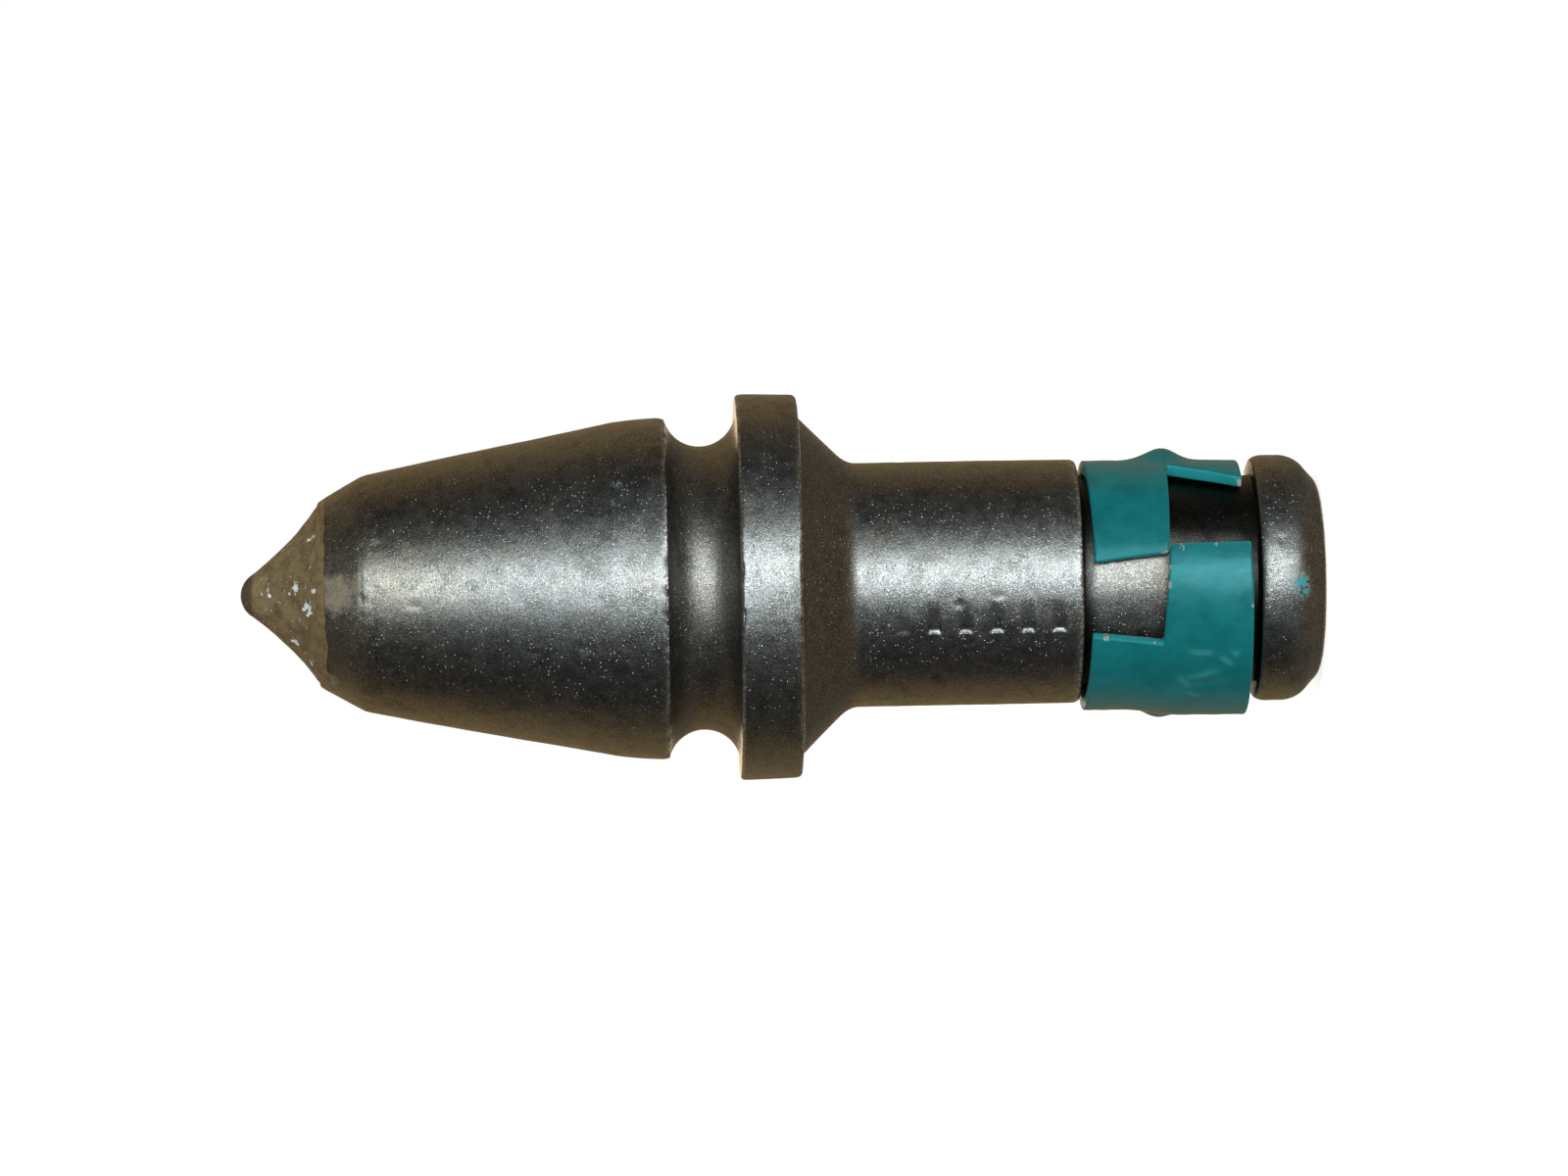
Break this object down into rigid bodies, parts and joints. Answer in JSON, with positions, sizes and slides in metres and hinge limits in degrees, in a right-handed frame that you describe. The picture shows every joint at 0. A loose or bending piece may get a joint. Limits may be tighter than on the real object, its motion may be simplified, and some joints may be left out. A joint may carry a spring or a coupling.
{
  "type": "conical cutting pick",
  "caption": "Conical rotary cutting pick: brazed carbide tip on a bullet-shaped steel body with collar, puller groove, round shank and a split spring retaining sleeve.",
  "frame": {"origin": "centre of the flat butt face, on the pick's axis", "axes": "+Z along the pick's axis from the butt to the carbide tip; -Y faces the stepped slot of the retaining sleeve; +X completes the right-handed frame"},
  "size_m": [0.0394, 0.0394, 0.11],
  "materials": {
    "forged_steel": "dark oiled forged steel, grainy satin, oxide brown in the recesses",
    "tungsten_carbide": "sintered carbide with a dusty tan flux and brass film",
    "braze": "dull brazing metal",
    "teal_paint": "satin teal paint, chipped at the cut edges"
  },
  "bodies": {
    "pick": {"pick_body": "forged_steel", "carbide_tip": "tungsten_carbide", "braze_seam": "braze"},
    "retainer": {"retaining_sleeve": "teal_paint"}
  },
  "joints": [
    {"name": "sleeve_spin", "type": "hinge", "parent": "pick", "child": "retainer", "pos_m": [0, 0, 0.016], "axis": [0, 0, 1], "continuous": true}
  ]
}
